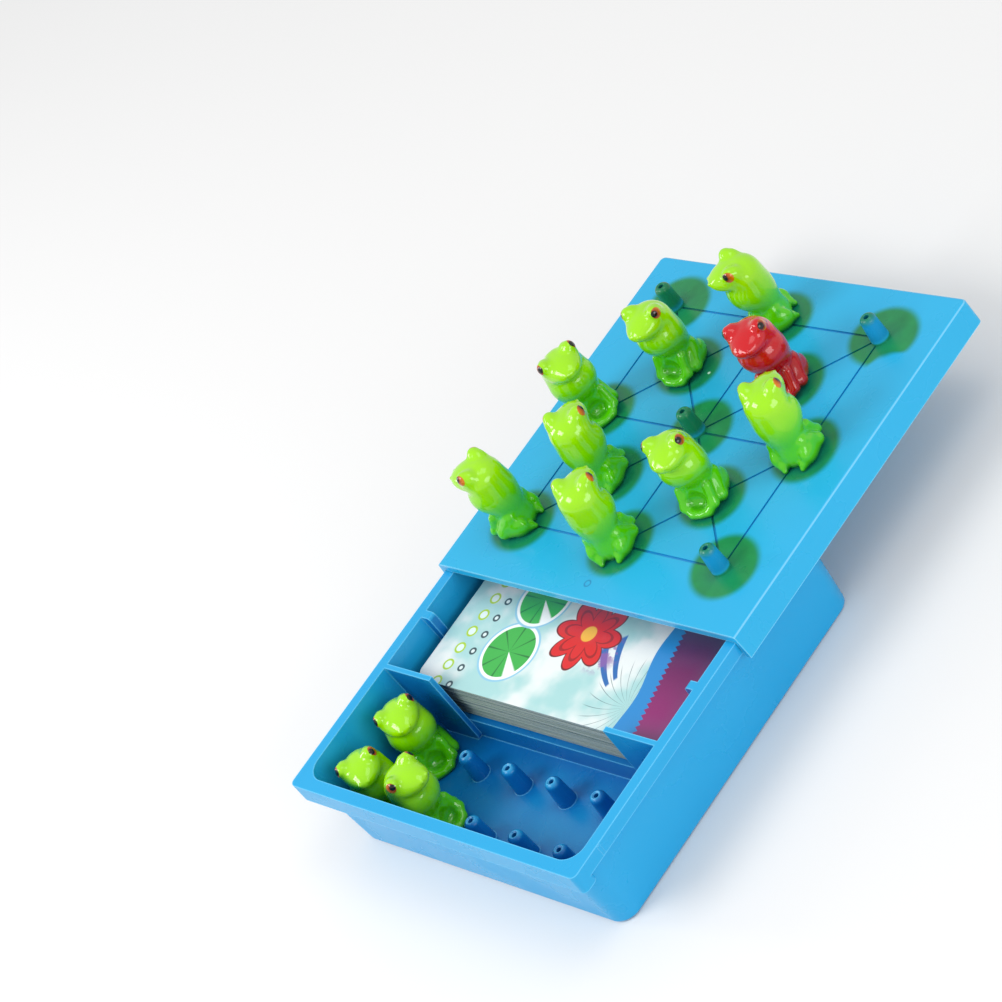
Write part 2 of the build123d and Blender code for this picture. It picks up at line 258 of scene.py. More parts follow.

# %% [markdown]
# ## Effects that several finishes share
#
# Four effects turn up on more than one plastic, so each is a node group that is built once:
#
# - hollow_shade finds creases and deep corners, where a finish mixes in a deeper colour: painted shade,
#   for the shade there and for light that bounces in a hollow and comes out more deeply coloured.
# - pale_edge_and_highlight finds edges and makes them paler: partly moulded plastic that is paler where it
#   is thinnest and most rubbed, partly a painted highlight where the rounded edges catch the light.
# - moulded_skin is the faint unevenness of a moulded surface, and gives a height for a Bump node.
# - handling gives the roughness: mostly smooth, with duller areas where fingers have been.

# %% Effects as shader node groups


def new_group(name, inputs, outputs):
    """An empty shader node group with number inputs, each with its default, and number outputs with the given
    names.
    """
    group = bpy.data.node_groups.new(name, "ShaderNodeTree")
    for label, default in inputs.items():
        socket = group.interface.new_socket(label, in_out="INPUT", socket_type="NodeSocketFloat")
        socket.default_value = default
    for label in outputs:
        group.interface.new_socket(label, in_out="OUTPUT", socket_type="NodeSocketFloat")
    return group, group.nodes.new("NodeGroupInput"), group.nodes.new("NodeGroupOutput")


def build_hollow_shade():
    # painted shade: a mask of the creases and deep corners where a darker colour is mixed in
    group, given, result = new_group("hollow_shade", {"Reach": 0.01, "Contrast": 1.5}, ["Mask"])
    occlusion = add_node(group, "ShaderNodeAmbientOcclusion", {"samples": 8}, Distance=given.outputs["Reach"])
    hidden = maths(group, "SUBTRACT", 1.0, occlusion.outputs["AO"])
    stronger = maths(group, "MULTIPLY", hidden, given.outputs["Contrast"])
    group.links.new(maths(group, "MINIMUM", stronger, 1.0), result.inputs["Mask"])
    return group


def build_pale_edge_and_highlight():
    # paler edges: partly whitened plastic, partly a painted highlight
    group, given, result = new_group("pale_edge_and_highlight", {"Width": 0.0006, "Strength": 1.0}, ["Mask"])
    rounded = add_node(group, "ShaderNodeBevel", {"samples": 6}, Radius=given.outputs["Width"])
    plain = add_node(group, "ShaderNodeNewGeometry")
    same = vector_maths(group, "DOT_PRODUCT", rounded.outputs["Normal"], plain.outputs["Normal"], out=1)
    turned = fade(group, same, 0.995, 0.90)
    group.links.new(maths(group, "MULTIPLY", turned, given.outputs["Strength"]), result.inputs["Mask"])
    return group


def build_moulded_skin():
    group, given, result = new_group("moulded_skin", {"Grain": 900.0, "Waves": 60.0}, ["Height"])
    place = add_node(group, "ShaderNodeTexCoord").outputs["Object"]
    grain = add_node(group, "ShaderNodeTexNoise", Vector=place, Scale=given.outputs["Grain"], Detail=3.0)
    waves = add_node(group, "ShaderNodeTexNoise", Vector=place, Scale=given.outputs["Waves"], Detail=1.0)
    fine = maths(group, "MULTIPLY", grain.outputs[0], 0.12)
    group.links.new(maths(group, "ADD", fine, waves.outputs[0]), result.inputs["Height"])
    return group


def build_handling():
    group, given, result = new_group("handling", {"Polished": 0.2, "Dull": 0.35, "Patches": 45.0}, ["Roughness"])
    place = add_node(group, "ShaderNodeTexCoord").outputs["Object"]
    patches = add_node(group, "ShaderNodeTexNoise", Vector=place, Scale=given.outputs["Patches"], Detail=4.0)
    spread = fade(group, patches.outputs[0], 0.42, 0.68)
    span = maths(group, "SUBTRACT", given.outputs["Dull"], given.outputs["Polished"])
    step = maths(group, "MULTIPLY", span, spread)
    group.links.new(maths(group, "ADD", given.outputs["Polished"], step), result.inputs["Roughness"])
    return group


SHARED = {
    group.name: group
    for group in (build_hollow_shade(), build_pale_edge_and_highlight(), build_moulded_skin(), build_handling())
}


def effect(tree, name, **inputs):
    """Place a shared effect in a material, with its own values."""
    node = tree.nodes.new("ShaderNodeGroup")
    node.node_tree = SHARED[name]
    for label, value in inputs.items():
        join(tree, node.inputs[label], value)
    return node


print("effects:", sorted(SHARED))

# %% [markdown]
# ## Blue plastic of the tray
#
# The tray is one injection moulding in satin sky blue. Deep inside it the walls are in shade, and light
# that has bounced off blue walls several times looks much deeper there, so the hollow_shade mask paints in
# that shade as a deeper blue. A rounded rectangle, a little smaller than the outer walls, keeps that painted
# shade to the inside. The rim and the outer corners get the paler edge colour, partly a painted highlight.

# %% Tray finish
WELL_CORNER = 0.008
WELL_INSET_X = 0.0050
WELL_INSET_Y = 0.0054


def finish_plastic(tree, shader, base, polished, dull, bump):
    """Colour, roughness and the skin of a moulded surface, which every plastic here has."""
    handling = effect(tree, "handling", Polished=polished, Dull=dull)
    skin = effect(tree, "moulded_skin")
    relief = add_node(tree, "ShaderNodeBump", Strength=bump, Distance=0.0004, Height=skin.outputs["Height"])
    join(tree, shader.inputs["Base Color"], base)
    join(tree, shader.inputs["Roughness"], handling.outputs["Roughness"])
    join(tree, shader.inputs["Normal"], relief.outputs["Normal"])
    shader.inputs["IOR"].default_value = 1.49
    shader.inputs["Specular IOR Level"].default_value = 0.38


def tray_material():
    material, tree, shader = new_material("tray_sky_blue")
    place = add_node(tree, "ShaderNodeTexCoord").outputs["Object"]
    cloud = add_node(tree, "ShaderNodeTexNoise", Vector=place, Scale=14.0, Detail=2.0)
    body = mix(tree, cloud.outputs[0], colour("1699D2"), colour("22A6DC"))
    # painted shade: a deeper blue mixed in deep inside the tray, kept within the walls
    hollow = effect(tree, "hollow_shade", Reach=0.035, Contrast=1.9)
    shade_amount = fade(tree, hollow.outputs["Mask"], 0.20, 0.95)
    x, y, z = add_node(tree, "ShaderNodeSeparateXYZ", Vector=place).outputs
    past_x = maths(tree, "SUBTRACT", maths(tree, "ABSOLUTE", x), tray_high.x - WELL_INSET_X - WELL_CORNER)
    past_y = maths(tree, "SUBTRACT", maths(tree, "ABSOLUTE", y), tray_high.y - WELL_INSET_Y - WELL_CORNER)
    past_x, past_y = maths(tree, "MAXIMUM", past_x, 0.0), maths(tree, "MAXIMUM", past_y, 0.0)
    past_corner = add_node(tree, "ShaderNodeCombineXYZ", X=past_x, Y=past_y).outputs[0]
    past = vector_maths(tree, "LENGTH", past_corner, out=1)
    within = fade(tree, past, WELL_CORNER, WELL_CORNER - 0.0006)
    inside = maths(tree, "MULTIPLY", within, fade(tree, z, 0.0012, 0.0016))
    painted_shade = mix(tree, maths(tree, "MULTIPLY", shade_amount, inside), body, colour("066CB4"))
    # paler edges: partly whitened plastic, partly a painted highlight
    edge = effect(tree, "pale_edge_and_highlight", Width=0.0007, Strength=0.75)
    edged = mix(tree, edge.outputs["Mask"], painted_shade, colour("6CCBF5"))
    finish_plastic(tree, shader, edged, 0.24, 0.36, 0.10)
    return material


def repaint(node, material):
    """Give a node of the engineering model its finish."""
    mesh = frame["nodes"][node].data
    mesh.materials.clear()
    mesh.materials.append(material)


repaint("tray", tray_material())
print("tray finish:", frame["nodes"]["tray"].data.materials[0].name)

# %% [markdown]
# ## Lid: the board and its lily pads
#
# The lid is the same plastic. Round each peg a green lily pad has been sprayed through a stencil, so its
# rim is soft. The pegs make a square lattice that is turned by an eighth, so two coordinates along the
# diagonals, in steps of one peg, give for each point the nearest peg and the offset from it. One pad is
# then painted in that small cell, and the lattice repeats it. The cell's number turns each pad a little, as
# hand spraying does, and only the pad at the far right corner has a notch. The mist also reaches the pegs,
# most of all their tips. The grooves and the hollows round the pegs get painted shade, a deeper colour. The
# outline edges are paler, partly a painted highlight, and the rounded edge round the top gets a pale
# painted highlight line. Two small marks are left by the making: the ring of the sprue near the front edge
# and a drop of paint.

# %% Lid finish
PAD_R = 0.0119
GATE_PLACE = (-0.0010, -0.0590, 0.0)
DROP_PLACE = (-0.0117, 0.0216, 0.0)


def lid_material():
    material, tree, shader = new_material("lid_sky_blue")
    place = add_node(tree, "ShaderNodeTexCoord").outputs["Object"]
    centred = add_node(tree, "ShaderNodeMapping", Vector=place, Location=(0, -board_middle.y, -board_top))
    on_board = add_node(tree, "ShaderNodeSeparateXYZ", Vector=centred.outputs[0])
    x, y, z = on_board.outputs

    # lattice along the diagonals: u and v are whole numbers at the pegs
    u = maths(tree, "DIVIDE", maths(tree, "ADD", x, y), 2 * HALF_PITCH)
    v = maths(tree, "DIVIDE", maths(tree, "SUBTRACT", x, y), 2 * HALF_PITCH)
    cell_u, cell_v = maths(tree, "ROUND", u), maths(tree, "ROUND", v)
    peg_x = maths(tree, "MULTIPLY", maths(tree, "ADD", cell_u, cell_v), HALF_PITCH)
    peg_y = maths(tree, "MULTIPLY", maths(tree, "SUBTRACT", cell_u, cell_v), HALF_PITCH)
    cell = add_node(tree, "ShaderNodeCombineXYZ", X=cell_u, Y=cell_v)
    chance = add_node(tree, "ShaderNodeTexWhiteNoise", {"noise_dimensions": "3D"}, Vector=cell.outputs[0])

    # one pad: a wavy disc, set a little off its peg; only the far right one has a notch
    from_x = maths(tree, "SUBTRACT", maths(tree, "SUBTRACT", x, peg_x), 0.0006)
    from_y = maths(tree, "SUBTRACT", maths(tree, "SUBTRACT", y, peg_y), 0.0008)
    bearing = maths(tree, "ARCTAN2", from_y, from_x)
    turned = maths(tree, "ADD", bearing, maths(tree, "MULTIPLY", chance.outputs[0], 1.4))
    distance = add_node(tree, "ShaderNodeCombineXYZ", X=from_x, Y=from_y)
    reach = vector_maths(tree, "LENGTH", distance.outputs[0], out=1)
    lobes = maths(tree, "MULTIPLY", maths(tree, "COSINE", maths(tree, "MULTIPLY", turned, 2.0)), 0.0006)
    notch_way = maths(tree, "COSINE", maths(tree, "ADD", bearing, 0.9))
    askew = fade(tree, maths(tree, "ADD", peg_x, peg_y), 3.2 * HALF_PITCH, 3.8 * HALF_PITCH)
    notch = maths(tree, "MULTIPLY", maths(tree, "MULTIPLY", fade(tree, notch_way, 0.82, 1.0), 0.0034), askew)
    rim = maths(tree, "SUBTRACT", maths(tree, "ADD", lobes, PAD_R), notch)
    inwards = maths(tree, "SUBTRACT", rim, reach)
    pad = fade(tree, inwards, -0.0014, 0.0016)
    farthest = maths(tree, "MAXIMUM", maths(tree, "ABSOLUTE", peg_x), maths(tree, "ABSOLUTE", peg_y))
    on_peg_field = fade(tree, farthest, 2.6 * HALF_PITCH, 2.4 * HALF_PITCH)
    pad = maths(tree, "MULTIPLY", pad, on_peg_field)

    # the flat of the board, the grooves and the pegs are told apart by height
    above_groove = fade(tree, z, -0.0003, -0.0001)
    from_middle = maths(tree, "MAXIMUM", maths(tree, "ABSOLUTE", x), maths(tree, "ABSOLUTE", y))
    sunk = maths(tree, "SUBTRACT", 1.0, above_groove)
    below_top = maths(tree, "MULTIPLY", fade(tree, z, -0.0006, -0.0005), sunk)
    in_groove = maths(tree, "MULTIPLY", below_top, fade(tree, from_middle, 0.060, 0.058))
    flat = maths(tree, "MULTIPLY", above_groove, fade(tree, z, 0.0012, 0.0003))
    peg_paint_from = maths(tree, "MULTIPLY", maths(tree, "MAXIMUM", peg_x, 0.0), 0.16)
    on_peg = fade(tree, maths(tree, "SUBTRACT", z, peg_paint_from), 0.0000, 0.0032)

    cloud = add_node(tree, "ShaderNodeTexNoise", Vector=place, Scale=11.0, Detail=2.0)
    body = mix(tree, cloud.outputs[0], colour("1DA4D8"), colour("2AB2E2"))
    spray = add_node(tree, "ShaderNodeTexNoise", Vector=place, Scale=190.0, Detail=2.0)
    leaf = mix(tree, spray.outputs[0], colour("0A6E22"), colour("1B9434"))
    leaf_amount = maths(tree, "MULTIPLY", maths(tree, "MULTIPLY", pad, flat), 0.93)
    painted = mix(tree, leaf_amount, body, leaf)
    peg_side = mix(tree, fade(tree, z, 0.0006, 0.0022), painted, colour("1590C8"))
    peg_green = mix(tree, on_peg, peg_side, colour("157A50"))
    # painted shade: the grooves are a deeper blue, and a deep green inside the pads
    groove_shade = mix(tree, pad, colour("1A96DC"), colour("0A6A44"))
    grooved = mix(tree, in_groove, peg_green, groove_shade)

    # the sprue left a small ring near the front edge, and one drop of paint fell by a pad
    from_gate = vector_maths(tree, "DISTANCE", centred.outputs[0], GATE_PLACE, out=1)
    ring = maths(tree, "ABSOLUTE", maths(tree, "SUBTRACT", from_gate, 0.0011))
    gated = mix(tree, fade(tree, ring, 0.0004, 0.0001), grooved, colour("1584BC"))
    from_drop = vector_maths(tree, "DISTANCE", centred.outputs[0], DROP_PLACE, out=1)
    marked = mix(tree, fade(tree, from_drop, 0.0006, 0.0004), gated, colour("BFEBD8"))

    # painted shade: a deeper blue mixed in round the pegs and in the grooves
    hollow = effect(tree, "hollow_shade", Reach=0.006, Contrast=0.45)
    shaded = mix(tree, hollow.outputs["Mask"], marked, colour("0A5F8F"))
    # paler outline edges: partly whitened plastic, partly a painted highlight
    edge = effect(tree, "pale_edge_and_highlight", Width=0.0006, Strength=0.7)
    side_x = fade(tree, maths(tree, "ABSOLUTE", x), lid_high.x - 0.0030, lid_high.x - 0.0020)
    half_y = (lid_high.y - lid_low.y) / 2
    side_y = fade(tree, maths(tree, "ABSOLUTE", y), half_y - 0.0030, half_y - 0.0020)
    outline = maths(tree, "MULTIPLY", edge.outputs["Mask"], maths(tree, "MAXIMUM", side_x, side_y))
    softened = mix(tree, outline, shaded, colour("8FDCFA"))
    # painted highlight: a pale line along the rounded edge round the top of the lid
    corner = maths(tree, "MULTIPLY", below_top, fade(tree, from_middle, 0.060, 0.062))
    edged = mix(tree, maths(tree, "MULTIPLY", corner, 0.4), softened, colour("A8E2FA"))
    finish_plastic(tree, shader, edged, 0.25, 0.38, 0.10)
    return material


repaint("lid", lid_material())
print("lid finish:", frame["nodes"]["lid"].data.materials[0].name)

# %% [markdown]
# ## Frogs: the shape
#
# Each frog is a hollow-footed figure, moulded in one piece. It could be sculpted by hand or built from a
# subdivision cage. Here it is a distance field: each part of the body is an egg or a limb that says how far
# a point is from its surface, and a soft minimum melts the parts into each other with a chosen fillet. That
# is how clay behaves, and a single number per joint decides if there is a crease or a smooth swelling.
#
# The frog faces +X over its own origin, in millimetres. Left and right are the same, so each part that
# comes in a pair is written once, with Y folded over.

# %% Distance helpers


def egg(p, centre, radii, pitch=0.0):
    """Distance to an egg shape. A positive pitch lifts its front."""
    q = p - np.array(centre)
    c, s = cos(pitch), sin(pitch)
    q = np.stack([c * q[:, 0] + s * q[:, 2], q[:, 1], -s * q[:, 0] + c * q[:, 2]], 1)
    r = np.array(radii)
    outer = np.linalg.norm(q / r, axis=1)
    inner = np.linalg.norm(q / r**2, axis=1)
    return outer * (outer - 1) / np.maximum(inner, 1e-9)


def limb(p, start, end, start_r, end_r):
    """Distance to a tapered rod with round ends."""
    start, end = np.array(start), np.array(end)
    along = end - start
    t = np.clip((p - start) @ along / (along @ along), 0, 1)
    return np.linalg.norm(p - start - t[:, None] * along, axis=1) - (start_r + t * (end_r - start_r))


def melt(a, b, fillet):
    """Join two shapes with a fillet between them."""
    h = np.clip(0.5 + 0.5 * (b - a) / fillet, 0, 1)
    return b + (a - b) * h - fillet * h * (1 - h)


def cut(a, b, fillet):
    """Take shape b out of shape a."""
    return -melt(-a, b, fillet)


# %% [markdown]
# The body is an upright egg that narrows at the waist, with a broad head that looks slightly up. The chin
# has a tight fillet, so the mouth line shows. The arms meet in front of the foot and make a rim round a
# small hollow. The hind legs are folded: a thigh runs forwards and down to the knee, and the shank runs
# back from it.

# %% Frog shape
HEAD_PITCH = 0.12
PEG_SOCKET_R = 3.3
PEG_SOCKET_TIP_R = 2.8
PEG_SOCKET_TOP = 10.0


def frog_field(p):
    """Distance to the frog's surface, in millimetres."""
    p = p * np.array([1, 0, 1]) + np.abs(p) * np.array([0, 1, 0])
    # throat, back and the wide foot
    body = melt(egg(p, (0.9, 0, 16.4), (6.5, 7.6, 6.6)), egg(p, (-1.6, 0, 14.0), (5.6, 6.6, 11.2)), 3.0)
    body = melt(body, egg(p, (-0.4, 0, 3.2), (6.7, 6.6, 6.4)), 2.8)
    # head: a flat wedge, wide at the eyes, whose chin is creased and whose neck runs into the back
    skull = egg(p, (0.9, 0, 23.4), (6.4, 6.5, 4.3), HEAD_PITCH)
    snout = egg(p, (5.0, 0, 23.5), (4.9, 4.6, 2.7), HEAD_PITCH)
    head = melt(skull, snout, 2.6)
    frog = melt(body, head, np.interp(p[:, 0], (-1.5, 4.5), (4.5, 1.3)))
    frog = melt(frog, egg(p, (0.9, 4.3, 26.0), (3.1, 2.5, 2.9)), 1.4)
    frog = melt(frog, egg(p, (1.6, 4.9, 26.95), (2.25, 2.15, 2.25)), 0.3)
    frog = melt(frog, egg(p, (9.2, 1.5, 24.6), (0.7, 0.6, 0.5)), 0.5)
    # the hollow in front of the foot, and the arms that make its rim
    frog = cut(frog, egg(p, (6.2, 0, 5.6), (2.8, 3.9, 3.4)), 1.0)
    arm = limb(p, (3.0, 4.9, 8.4), (5.2, 5.0, 3.2), 1.3, 1.3)
    arm = melt(arm, limb(p, (5.2, 5.0, 3.2), (6.9, 2.7, 1.5), 1.3, 1.1), 1.6)
    arm = melt(arm, limb(p, (6.9, 2.7, 1.5), (7.5, 0.0, 1.4), 1.1, 1.1), 1.6)
    frog = melt(frog, arm, 1.4)
    frog = melt(frog, egg(p, (5.3, 0, 0.8), (2.7, 4.2, 1.5)), 1.0)
    # folded hind legs: one broad slab with a soft fold, a knee and a pointed foot
    thigh = limb(p, (-2.8, 4.3, 7.6), (1.6, 6.0, 3.2), 2.6, 2.0)
    shank = limb(p, (1.6, 6.0, 2.4), (-6.2, 3.5, 1.8), 2.0, 1.7)
    leg = melt(melt(thigh, shank, 1.2), egg(p, (-2.4, 4.9, 3.6), (5.0, 2.6, 4.2)), 0.9)
    frog = melt(frog, leg, 0.9)
    frog = melt(frog, limb(p, (-5.6, 3.7, 2.2), (-7.6, 3.0, 0.8), 1.6, 0.9), 0.7)
    frog = np.maximum(frog, -p[:, 2])
    # socket for the peg
    t = np.clip(p[:, 2] / PEG_SOCKET_TOP, -1, 1)
    wall = np.hypot(p[:, 0], p[:, 1]) - (PEG_SOCKET_R + t * (PEG_SOCKET_TIP_R - PEG_SOCKET_R))
    socket = np.maximum(wall, p[:, 2] - PEG_SOCKET_TOP)
    return np.maximum(frog, -socket)


# %% [markdown]
# A field has to become a mesh. The surface net puts one vertex in each small cube that the surface crosses,
# and one face across each cube edge that goes from inside to outside. Then each vertex slides along the
# field's slope until its distance is zero, which takes away the steps of the grid.

# %% Mesh of a field


def surface_net(field, low, high, step):
    """Vertices and quads of the zero level of a field, facing outwards."""
    axes = [np.arange(a, b + step, step) for a, b in zip(low, high)]
    grid = np.stack(np.meshgrid(*axes, indexing="ij"), -1)
    inside = (field(grid.reshape(-1, 3)) < 0).reshape(grid.shape[:3])
    corners = sum(
        inside[i:i - 1 or None, j:j - 1 or None, k:k - 1 or None].astype(int)
        for i in (0, 1) for j in (0, 1) for k in (0, 1)
    )
    crossed = (corners > 0) & (corners < 8)
    number = np.full(crossed.shape, -1)
    number[crossed] = np.arange(crossed.sum())
    points = np.array(low) + (np.argwhere(crossed) + 0.5) * step
    faces = []
    for axis in range(3):
        one, two = np.eye(3, dtype=int)[(axis + 1) % 3], np.eye(3, dtype=int)[(axis + 2) % 3]
        near, far = [slice(None)] * 3, [slice(None)] * 3
        near[axis], far[axis] = slice(None, -1), slice(1, None)
        going_out = inside[tuple(near)] & ~inside[tuple(far)]
        coming_in = ~inside[tuple(near)] & inside[tuple(far)]
        for edges, order in ((going_out, (0, 1, 2, 3)), (coming_in, (3, 2, 1, 0))):
            at = np.argwhere(edges)
            ring = [at - one - two, at - two, at, at - one]
            ids = np.stack([number[tuple(cell.T)] for cell in ring], 1)
            faces.append(ids[:, order])
    return points, np.concatenate(faces)


def slide_to_surface(field, points, rounds=6, reach=0.02):
    """Move points along the field's slope until they lie on its surface."""
    for _ in range(rounds):
        distance = field(points)
        rise = [field(points + reach * way) - field(points - reach * way) for way in np.eye(3)]
        slope = np.stack(rise, 1) / (2 * reach)
        steepness = np.maximum((slope**2).sum(1), 0.05)
        points = points - (distance / steepness)[:, None] * slope
    return points


GRID_STEP = 0.42
rough, frog_faces = surface_net(frog_field, (-10.1, -10.1, -1.03), (11.3, 10.1, 31), GRID_STEP)
frog_points = slide_to_surface(frog_field, rough)
print("frog:", len(frog_points), "vertices", frog_points.min(0).round(2), frog_points.max(0).round(2))

# %% [markdown]
# ## Frogs: the finish
#
# The frogs are glossy lime plastic, more yellow on the head, with painted shade: a deeper green where the
# shape folds in. The eyes are printed: an orange iris on the outer side of each bump, and a black pupil near
# its front. A print never sits quite in the same place twice, so each frog carries a small shift of its own.
#
# The finish has to follow each frog wherever it stands, so every vertex keeps its place on the sculpted
# frog in an attribute, and the material reads that instead of the object's own coordinates.

# %% Frog finish
IRIS_PLACE = (1.9, 6.85, 27.5)
PUPIL_PLACE = (2.75, 6.45, 27.9)
IRIS_R = 1.85
PUPIL_R = 1.05


def frog_material(name, head, body, painted_shade, iris):
    material, tree, shader = new_material(name)
    spot = add_node(tree, "ShaderNodeAttribute", {"attribute_name": "frog_place"}).outputs["Vector"]
    shift = add_node(tree, "ShaderNodeAttribute", {"attribute_name": "print_shift"}).outputs["Vector"]
    height = add_node(tree, "ShaderNodeSeparateXYZ", Vector=spot).outputs["Z"]
    mottle = add_node(tree, "ShaderNodeTexNoise", Vector=spot, Scale=0.22, Detail=2.0)
    wander = maths(tree, "MULTIPLY", maths(tree, "SUBTRACT", mottle.outputs[0], 0.5), 3.0)
    skin = mix(tree, fade(tree, maths(tree, "ADD", height, wander), 9.0, 25.0), colour(body), colour(head))
    # painted shade: a deeper green in the creases and hollows
    hollow = effect(tree, "hollow_shade", Reach=0.006, Contrast=1.35)
    crease_shaded = mix(tree, fade(tree, hollow.outputs["Mask"], 0.20, 0.85), skin, colour(painted_shade))

    moved = add_node(tree, "ShaderNodeSeparateXYZ", Vector=vector_maths(tree, "ADD", spot, shift)).outputs
    side = maths(tree, "ABSOLUTE", moved["Y"])
    printed_at = add_node(tree, "ShaderNodeCombineXYZ", X=moved["X"], Y=side, Z=moved["Z"]).outputs[0]
    from_iris = vector_maths(tree, "DISTANCE", printed_at, IRIS_PLACE, out=1)
    from_pupil = vector_maths(tree, "DISTANCE", printed_at, PUPIL_PLACE, out=1)
    iris_tone = mix(tree, fade(tree, from_pupil, 0.9, 2.4), colour(iris), colour("D07200"))
    eyed = mix(tree, fade(tree, from_iris, IRIS_R + 0.12, IRIS_R - 0.12), crease_shaded, iris_tone)
    ringed = mix(tree, fade(tree, from_pupil, PUPIL_R + 0.1, PUPIL_R - 0.1), eyed, colour("0A0604"))
    finish_plastic(tree, shader, ringed, 0.10, 0.17, 0.06)
    shader.inputs["Coat Weight"].default_value = 0.5
    shader.inputs["Coat Roughness"].default_value = 0.04
    return material


frog_green = frog_material("frog_lime_gloss", "98DC00", "52C400", "0A7A14", "8E3000")
frog_red = frog_material("frog_red_gloss", "C60010", "AE0008", "4E0006", "7A1004")
print("frog finishes:", frog_green.name, frog_red.name)

# %% [markdown]
# ## Frogs: standing on their pegs
#
# On the board a frog's place is a column and a row in half pitches from the centre peg. In the tray it is
# the place of the joint that the frog turns on. Each frog is a body of its own, because a player lifts it
# or turns it, so each gets its own copy of the mesh.

# %% Stand the frogs
STANDING = {
    "frog_red": (1, 1, -65),
    "frog_green_01": (0, 2, 224),
    "frog_green_02": (-1, 1, -77),
    "frog_green_03": (-2, 0, -22),
    "frog_green_04": (2, 0, 110),
    "frog_green_05": (-1, -1, 116),
    "frog_green_06": (1, -1, -67),
    "frog_green_07": (-2, -2, 199),
    "frog_green_08": (0, -2, 115),
}
STORED = {"frog_green_09": -29, "frog_green_10": -37, "frog_green_11": 12}
places = {
    name: (Vector((column * HALF_PITCH, board_middle.y + row * HALF_PITCH, board_top)), facing)
    for name, (column, row, facing) in STANDING.items()
}
for joint in frame["joints"]:
    if joint["child"] in STORED:
        x, y, _ = joint["pos_m"]
        places[joint["child"]] = (Vector((x, y, store_floor)), STORED[joint["child"]])


def keep_vector(mesh, name, values):
    """Store one vector per vertex."""
    attribute = mesh.attributes.new(name, "FLOAT_VECTOR", "POINT")
    attribute.data.foreach_set("vector", np.asarray(values, np.float32).ravel())


chance = np.random.default_rng(7)
for name, (foot, facing) in places.items():
    turn = np.array(Matrix.Rotation(radians(facing), 3, "Z"))
    thing = mesh_object(f"{name}_figure", frog_points @ turn.T * MM + np.array(foot), frog_faces, smooth=True)
    keep_vector(thing.data, "frog_place", frog_points)
    print_shift = chance.uniform(-0.35, 0.35, 3) * np.array([1.0, 0.0, 1.0])
    keep_vector(thing.data, "print_shift", np.tile(print_shift, (len(frog_points), 1)))
    thing.data.set_sharp_from_angle(angle=radians(60))
    thing.data.materials.append(frog_red if name == "frog_red" else frog_green)
    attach(thing, name)
    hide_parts(name)
print("frogs standing:", len(places))

# %% [markdown]
# ## The deck of challenge cards
#
# Thirty-nine thin cards lie under the cover card, and hands never square a deck perfectly. Cards are all
# alike, so Geometry Nodes make one card from a rounded rectangle and repeat it up a line. Each copy gets a
# small random shift and turn, with a fixed seed, so the edge of the deck comes out as the slightly ragged
# face of a real one.

# %% Deck of cards with Geometry Nodes
CARD_COUNT = 39
CARD_CORNER = 0.004
STRAY_TURN = 0.004


def geometry_group(name, inputs):
    """An empty geometry tree with named inputs, and its input and output nodes."""
    tree = bpy.data.node_groups.new(name, "GeometryNodeTree")
    tree.interface.new_socket("Geometry", in_out="INPUT", socket_type="NodeSocketGeometry")
    for label, kind in inputs.items():
        tree.interface.new_socket(label, in_out="INPUT", socket_type=f"NodeSocket{kind}")
    tree.interface.new_socket("Geometry", in_out="OUTPUT", socket_type="NodeSocketGeometry")
    return tree, tree.nodes.new("NodeGroupInput"), tree.nodes.new("NodeGroupOutput")


